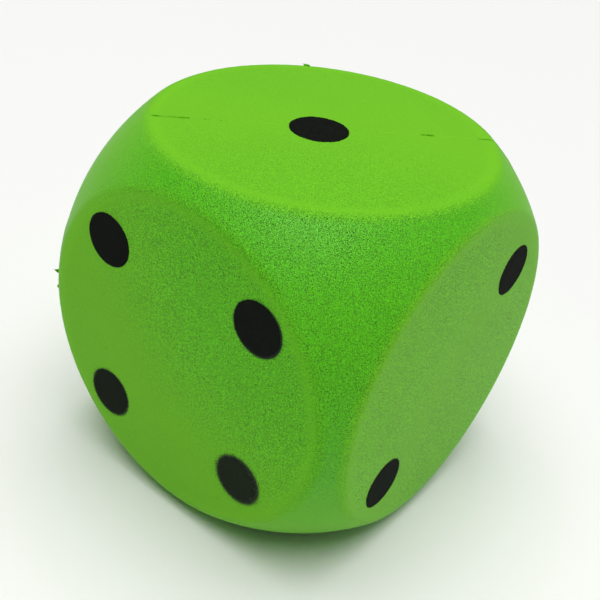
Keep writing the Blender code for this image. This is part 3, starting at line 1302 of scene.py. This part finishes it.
def lump_tree():
    """Geometry for one torn lump of flash that stands out of the foam."""
    inputs = (
        *DIE_SHAPE,
        ("Direction", "NodeSocketVector"),
        ("Lump size", "NodeSocketVector"),
        ("Lean", "NodeSocketFloat"),
        ("Seed", "NodeSocketInt"),
        ("Material", "NodeSocketMaterial"),
    )
    tree, given, result = new_geometry_tree("Flash lump", inputs)
    ball = small_ball(tree, 1.0, LUMP_DIVISIONS)
    position = position_of(tree)
    noise = seeded_noise(tree, position, given["Seed"], TORN_SCALE, FINE_DETAIL, TORN_STRENGTH)
    size = sum_of(tree, "MULTIPLY_ADD", noise, TORN_SWING, TORN_LEAST)
    parts = parts_of(tree, scaled(tree, position, size))

    # narrower towards its tip, which leans over
    raised = sum_of(tree, "MAXIMUM", parts[2], 0)
    narrowing = sum_of(tree, "SUBTRACT", 1, sum_of(tree, "MULTIPLY", raised, TAPER))
    lean = sum_of(tree, "MULTIPLY", squared(tree, parts[2]), given["Lean"])
    feeds = {
        0: sum_of(tree, "MULTIPLY_ADD", parts[0], narrowing, lean),
        1: sum_of(tree, "MULTIPLY", parts[1], narrowing),
        2: parts[2],
    }
    tapered = add_node(tree, "ShaderNodeCombineXYZ", feeds).outputs[0]
    feeds = {
        "Vector": vector_of(tree, "MULTIPLY", tapered, given["Lump size"]),
        "Rotation": turn_towards(tree, given["Direction"]),
    }
    turned = add_node(tree, "FunctionNodeRotateVector", feeds).outputs[0]
    point = follow_surface(tree, given, given["Direction"])
    shaped = moved(tree, ball, vector_of(tree, "ADD", turned, point))
    finish_tree(tree, shaped, given["Material"], result["Geometry"])
    return tree


# ---------------------------------------------------------------- operators


class FOAMDIE_OT_mould_foam(Operator):
    """Mould the foam body, with its waves, pores and parting line"""

    bl_idname = "foam_die.mould_foam"
    bl_label = "Mould the foam"

    def execute(self, context):
        settings = context.scene.foam_die_foam
        values = {
            **die_shape_values(),
            "Grid lines": settings.grid_lines,
            "Wave height": settings.wave_height,
            "Wave size": settings.wave_size,
            "Seed": settings.seed,
            "Material": foam_material(),
        }
        foam = run_tree(foam_tree(), "moulded_foam", values)
        cut_seam_loops(foam.data)
        seam_shade = raise_seam(foam.data, settings)
        mark_skin(foam.data, seam_shade)
        open_pinholes(foam.data, settings)
        lay_out_skin(foam.data)
        keep(foam, "foam", "foam_body")
        return {"FINISHED"}


def spray_of(node):
    """How a pip was sprayed: its paint's thinness, and its mist's share of the edge, reach and drift."""
    return SPRAY.get(node, CRISP)


def pip_place_values(node):
    """A pip's place as inputs of a geometry tree, and its radius."""
    radius, middle, right, up, outward = pip_place(node)
    values = {
        "Foam": bpy.data.objects["moulded_foam"],
        "Middle": middle,
        "Right": right,
        "Up": up,
        "Outward": outward,
        "Radius": radius,
    }
    return values


class FOAMDIE_OT_spray_pips(Operator):
    """Spray the twenty-one pips onto the foam"""

    bl_idname = "foam_die.spray_pips"
    bl_label = "Spray the pips"

    def execute(self, context):
        settings = context.scene.foam_die_pips
        tree = pip_tree()
        for number, node in enumerate(PIP_NODES):
            thinness, misty_edge = spray_of(node)[:2]
            name = node.replace("pip_", "paint_")
            place = pip_place_values(node)
            values = {
                **place,
                "Radius": place["Radius"] - misty_edge,
                "Ragged edge": settings.ragged * (1 + THIN_RAGGEDNESS * thinness),
                "Paint skin": settings.skin,
                "Soak depth": settings.soak,
                "Sides": settings.sides,
                "Rings": settings.rings,
                "Seed": number,
                "Material": paint_material(name.replace("_", " "), thinness),
            }
            keep(run_tree(tree, name, values), "paint", node)
        return {"FINISHED"}


class FOAMDIE_OT_spray_mist(Operator):
    """Dust the foam round the pips with the mist that got past the stencil"""

    bl_idname = "foam_die.spray_mist"
    bl_label = "Spray the mist"

    def execute(self, context):
        settings = context.scene.foam_die_pips
        tree = mist_tree()
        material = paint_material("paint mist", MIST_THINNESS)
        for number, node in enumerate(PIP_NODES):
            _, misty_edge, reach, drift = spray_of(node)
            values = {
                **pip_place_values(node),
                "Misty edge": misty_edge,
                "Reach": reach,
                "Drift": (*drift, 0.0),
                "Speck size": settings.speck_size,
                "Speck density": settings.speck_density,
                "Seed": MIST_SEED + number,
                "Material": material,
            }
            keep(run_tree(tree, node.replace("pip_", "mist_"), values), "paint")
        return {"FINISHED"}


class FOAMDIE_OT_leave_flash(Operator):
    """Leave the crumbs and lumps of flash along the parting line"""

    bl_idname = "foam_die.leave_flash"
    bl_label = "Leave the flash"

    def execute(self, context):
        material = bpy.data.materials["moulded foam"]
        seed = context.scene.foam_die_foam.seed
        places = pips_on_the_seam()
        values = {
            **die_shape_values(),
            "Places": CRUMB_PLACES,
            "Share kept": CRUMB_SHARE,
            "Crumb size": CRUMB_SIZE,
            "Clear radius": max(place[0] for place in places) + PINHOLE_MARGIN,
            "Seed": seed,
            "Material": material,
        }
        for label, place in zip(SEAM_PIPS, places):
            values[label] = place[1]
        crumbs = run_tree(crumb_tree(), "flash_crumbs", values)
        shade_flash(crumbs.data, FLASH_SHADE)
        keep(crumbs, "foam")
        tree = lump_tree()
        for number, (direction, size, lean, shade) in enumerate(FLASH_LUMPS):
            values = {
                **die_shape_values(),
                "Direction": direction,
                "Lump size": size,
                "Lean": lean,
                "Seed": seed + number,
                "Material": material,
            }
            lump = run_tree(tree, f"flash_lump_{number + 1}", values)
            shade_flash(lump.data, shade)
            keep(lump, "foam")
        return {"FINISHED"}


# The round floor, and the width of the camera's sensor in millimetres
FLOOR_RADIUS = 14.0
FLOOR_SIDES = 96
SENSOR_WIDTH = 36


def add_floor():
    """A large round floor at the die's base."""
    ring = bmesh.new()
    bmesh.ops.create_circle(ring, cap_ends=True, segments=FLOOR_SIDES, radius=FLOOR_RADIUS)
    bmesh.ops.translate(ring, verts=ring.verts, vec=(0, 0, LOW.z))
    mesh = bpy.data.meshes.new("floor")
    ring.to_mesh(mesh)
    ring.free()
    floor = bpy.data.objects.new("floor", mesh)
    floor.data.materials.append(floor_material())
    bpy.context.scene.collection.objects.link(floor)


# The lights' names and the directions that they come from: degrees round from the face with four towards
# the face with two, and up from the floor. Their colour.
OVERHEAD = ("overhead light", 0, 90)
SIDES = (("left light", -45, 25), ("right light", 135, 35))
GLOSS = ("gloss light", 30, 66)
LIGHT_COLOUR = (1.0, 0.995, 0.975)


def add_light(light_place, strength, spread):
    """A soft light that comes from a direction."""
    name, around, up = light_place
    light = bpy.data.lights.new(name, "SUN")
    light.energy = strength
    light.angle = spread
    light.color = LIGHT_COLOUR
    item = bpy.data.objects.new(name, light)
    item.rotation_euler = (radians(90 - up), 0, radians(around))
    bpy.context.scene.collection.objects.link(item)
    return item


# What lies past the floor, and how bright the camera sees it, so that it matches the floor
SKY_COLOUR = (0.96, 0.98, 1.0, 1)
WALL_COLOUR = (1.0, 0.995, 0.985, 1)
WALL_BRIGHTNESS = 0.93


def add_sky(strength):
    """A little even light all round, which the camera sees as a bright plain wall past the floor."""
    world = bpy.data.worlds.new("pale sky")
    world.use_nodes = True
    tree = world.node_tree
    sky = tree.nodes["Background"]
    sky.inputs["Color"].default_value = SKY_COLOUR
    sky.inputs["Strength"].default_value = strength
    wall = add_node(tree, "ShaderNodeBackground", {"Color": WALL_COLOUR, "Strength": WALL_BRIGHTNESS})
    seen = add_node(tree, "ShaderNodeLightPath").outputs["Is Camera Ray"]
    shown = add_node(tree, "ShaderNodeMixShader", {0: seen, 1: sky.outputs[0], 2: wall.outputs[0]})
    tree.links.new(shown.outputs[0], tree.nodes["World Output"].inputs["Surface"])
    bpy.context.scene.world = world


def add_camera(settings):
    """The camera, held a little tilted, close above the front corner of the die."""
    level = cos(settings.elevation)
    back = Vector((sin(settings.azimuth) * level, -cos(settings.azimuth) * level, sin(settings.elevation)))
    place = MIDDLE + back * settings.distance
    above = back.cross(Vector((0, 0, 1)).cross(back)).normalized()
    aim = MIDDLE - above * settings.aim_drop
    camera = bpy.data.objects.new("camera", bpy.data.cameras.new("camera"))
    turn = (aim - place).to_track_quat("-Z", "Y").to_matrix().to_4x4()
    camera.matrix_world = Matrix.Translation(place) @ turn @ Matrix.Rotation(settings.roll, 4, "Z")
    camera.data.lens = settings.lens
    camera.data.sensor_width = SENSOR_WIDTH
    bpy.context.scene.collection.objects.link(camera)
    bpy.context.scene.camera = camera


class FOAMDIE_OT_set_stage(Operator):
    """Set the floor, the lights and the camera"""

    bl_idname = "foam_die.set_stage"
    bl_label = "Set the stage"

    def execute(self, context):
        settings = context.scene.foam_die_stage
        add_floor()
        add_sky(settings.sky_strength)
        add_light(OVERHEAD, settings.overhead_strength, settings.light_spread)
        for place, strength in zip(SIDES, (settings.left_strength, settings.right_strength)):
            add_light(place, strength, settings.light_spread)
        gloss = add_light(GLOSS, settings.gloss_strength, settings.gloss_spread)
        gloss.visible_diffuse = False
        add_camera(settings)
        context.scene.view_settings.view_transform = "Standard"
        return {"FINISHED"}


STEPS = (
    FOAMDIE_OT_mould_foam,
    FOAMDIE_OT_spray_pips,
    FOAMDIE_OT_spray_mist,
    FOAMDIE_OT_leave_flash,
    FOAMDIE_OT_set_stage,
)


class FOAMDIE_PT_panel(Panel):
    """Lists the steps that build the die and the settings they use"""

    bl_idname = "FOAMDIE_PT_panel"
    bl_label = "Foam die"
    bl_space_type = "VIEW_3D"
    bl_region_type = "UI"
    bl_category = "Foam die"

    def draw(self, context):
        for step in STEPS:
            self.layout.operator(step.bl_idname)
        scene = context.scene
        for settings in (scene.foam_die_foam, scene.foam_die_pips, scene.foam_die_stage):
            box = self.layout.box()
            for name in settings.bl_rna.properties.keys():
                if name not in ("rna_type", "name"):
                    box.prop(settings, name)


CLASSES = (FoamSettings, PipSettings, StageSettings, *STEPS, FOAMDIE_PT_panel)


def register():
    """Register the classes and hang the settings on the scene."""
    for item in CLASSES:
        bpy.utils.register_class(item)
    bpy.types.Scene.foam_die_foam = PointerProperty(type=FoamSettings)
    bpy.types.Scene.foam_die_pips = PointerProperty(type=PipSettings)
    bpy.types.Scene.foam_die_stage = PointerProperty(type=StageSettings)


def unregister():
    """Undo what register did."""
    del bpy.types.Scene.foam_die_stage
    del bpy.types.Scene.foam_die_pips
    del bpy.types.Scene.foam_die_foam
    for item in reversed(CLASSES):
        bpy.utils.unregister_class(item)


def main():
    """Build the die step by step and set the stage."""
    register()
    bpy.ops.foam_die.mould_foam()
    bpy.ops.foam_die.spray_pips()
    bpy.ops.foam_die.spray_mist()
    bpy.ops.foam_die.leave_flash()
    bpy.ops.foam_die.set_stage()


if __name__ == "__main__":
    main()
